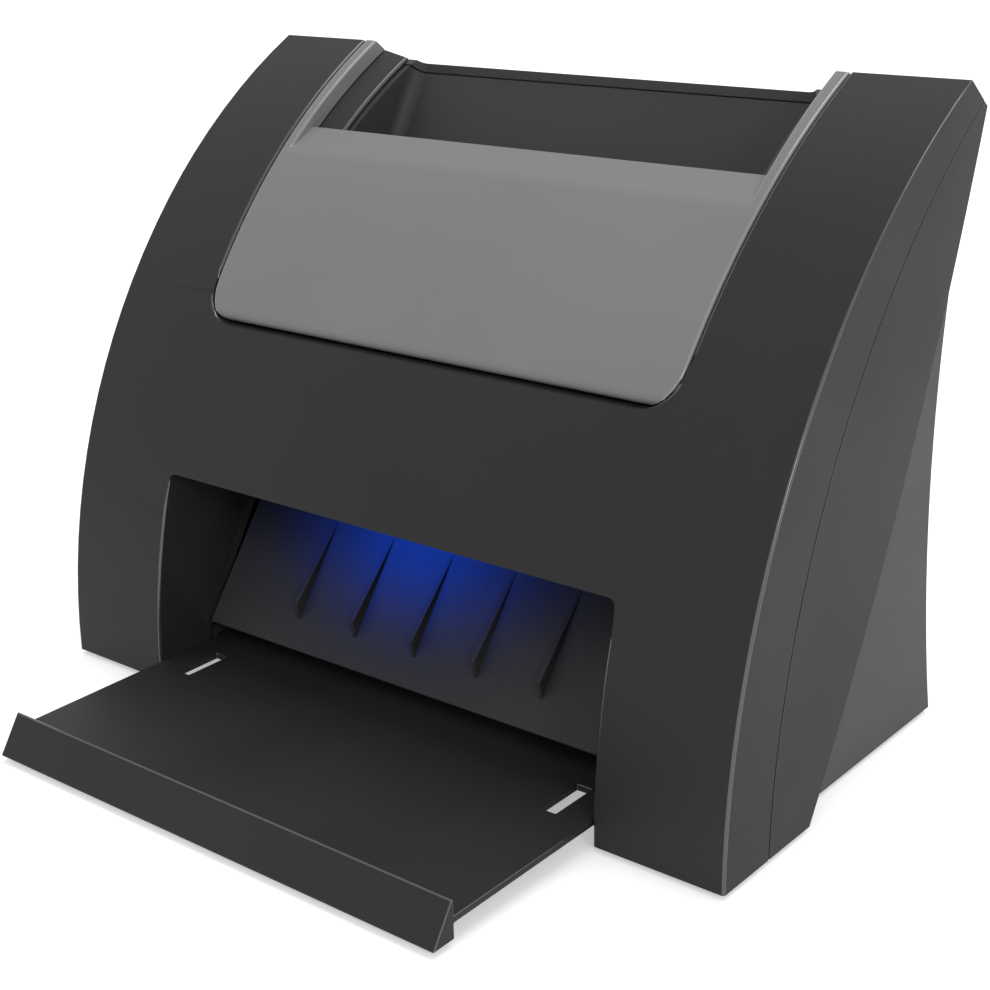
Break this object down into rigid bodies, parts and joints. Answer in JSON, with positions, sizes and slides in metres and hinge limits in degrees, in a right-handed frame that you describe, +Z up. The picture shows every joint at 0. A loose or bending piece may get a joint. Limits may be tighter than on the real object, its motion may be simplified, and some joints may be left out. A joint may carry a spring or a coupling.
{
  "type": "card scanner",
  "caption": "Desktop card scanner with a curved black housing, a top hopper behind a grey access door, a ribbed exit ramp lit in blue and a thin sliding exit tray.",
  "frame": {"origin": "centre of the bounding box on the surface that the rubber feet stand on, with the exit tray pulled out", "axes": "+X across the machine to the right as seen from the front, +Y rearward, +Z up"},
  "size_m": [0.165, 0.1284, 0.1248],
  "materials": {
    "black_plastic": "fine moulded texture",
    "grey_black_plastic": "fine moulded texture",
    "base_plastic": "plain moulded",
    "grey_plastic": "fine moulded texture",
    "sensor_plastic": "plain moulded",
    "sensor_glass": "polished",
    "rubber": "matt",
    "roller_plastic": "plain moulded",
    "steel": "bright zinc",
    "frame_metal": "galvanised sheet",
    "brass": "machined",
    "gear_plastic": "natural acetal",
    "lamp_blue": "clear blue lens",
    "board_green": "solder mask",
    "chip_black": "moulded epoxy"
  },
  "bodies": {
    "chassis": {"front_shell": "black_plastic", "rear_housing": "grey_black_plastic", "bottom_cover": "base_plastic", "rubber_foot_1": "rubber", "rubber_foot_2": "rubber", "rubber_foot_3": "rubber", "rubber_foot_4": "rubber", "case_screw_1": "steel", "case_screw_2": "steel", "case_screw_3": "steel", "case_screw_4": "steel", "frame_screw_1": "steel", "frame_screw_2": "steel", "frame_screw_3": "steel", "frame_screw_4": "steel", "hopper_liner": "black_plastic", "rear_guide_plate": "black_plastic", "lower_front_guide": "black_plastic", "rear_sensor_bar": "sensor_plastic", "rear_sensor_glass": "sensor_glass", "front_sensor_bar": "sensor_plastic", "front_sensor_glass": "sensor_glass", "exit_ramp": "black_plastic", "left_side_frame": "frame_metal", "right_side_frame": "frame_metal", "shaft_bush_1": "brass", "shaft_bush_2": "brass", "shaft_bush_3": "brass", "shaft_bush_4": "brass", "idler_pin": "steel", "drive_motor": "steel", "tray_rail_left": "base_plastic", "tray_rail_right": "base_plastic", "lamp_lens": "lamp_blue", "lamp_board": "board_green", "main_board": "board_green", "processor": "chip_black", "capacitor_1": "chip_black", "capacitor_2": "chip_black", "usb_socket": "steel", "power_jack": "chip_black", "door_hinge_pin_1": "steel", "door_hinge_pin_2": "steel"},
    "door": {"access_door": "grey_plastic", "door_guide": "black_plastic"},
    "door_pinch": {"door_pinch_roller": "roller_plastic"},
    "tray": {"exit_tray": "black_plastic"},
    "feed_roller": {"feed_roller_shaft": "steel", "feed_tyre_1": "rubber", "feed_tyre_2": "rubber", "feed_gear": "gear_plastic"},
    "exit_roller": {"exit_roller_shaft": "steel", "exit_tyre_1": "rubber", "exit_tyre_2": "rubber", "exit_gear": "gear_plastic"},
    "idler": {"idler_gear": "gear_plastic"},
    "pinion": {"motor_pinion": "brass"},
    "exit_pinch": {"exit_pinch_roller": "roller_plastic"}
  },
  "joints": [
    {"name": "door_hinge", "type": "hinge", "parent": "chassis", "child": "door", "pos_m": [0, 0.00534, 0.0823], "axis": [1, 0, 0], "range_deg": [0, 60]},
    {"name": "door_pinch_spin", "type": "hinge", "parent": "door", "child": "door_pinch", "pos_m": [0, 0.03621, 0.09059], "axis": [1, 0, 0], "continuous": true},
    {"name": "tray_slide", "type": "slide", "parent": "chassis", "child": "tray", "axis": [0, 1, 0], "range_m": [0, 0.036]},
    {"name": "feed_spin", "type": "hinge", "parent": "chassis", "child": "feed_roller", "pos_m": [0, 0.0455, 0.08498], "axis": [1, 0, 0], "continuous": true},
    {"name": "exit_spin", "type": "hinge", "parent": "chassis", "child": "exit_roller", "pos_m": [0, 0.02067, 0.0439], "axis": [1, 0, 0], "continuous": true},
    {"name": "idler_spin", "type": "hinge", "parent": "chassis", "child": "idler", "pos_m": [0, 0.03308, 0.06444], "axis": [1, 0, 0], "continuous": true},
    {"name": "pinion_spin", "type": "hinge", "parent": "chassis", "child": "pinion", "pos_m": [0, 0.03957, 0.04446], "axis": [1, 0, 0], "continuous": true},
    {"name": "exit_pinch_spin", "type": "hinge", "parent": "chassis", "child": "exit_pinch", "pos_m": [0, 0.01138, 0.04951], "axis": [1, 0, 0], "continuous": true}
  ],
  "couplings": [
    {"joint": "idler_spin", "follows": "feed_spin", "ratio": -0.5},
    {"joint": "exit_spin", "follows": "feed_spin", "ratio": 1},
    {"joint": "pinion_spin", "follows": "feed_spin", "ratio": 1.6},
    {"joint": "exit_pinch_spin", "follows": "feed_spin", "ratio": -1.3333}
  ]
}
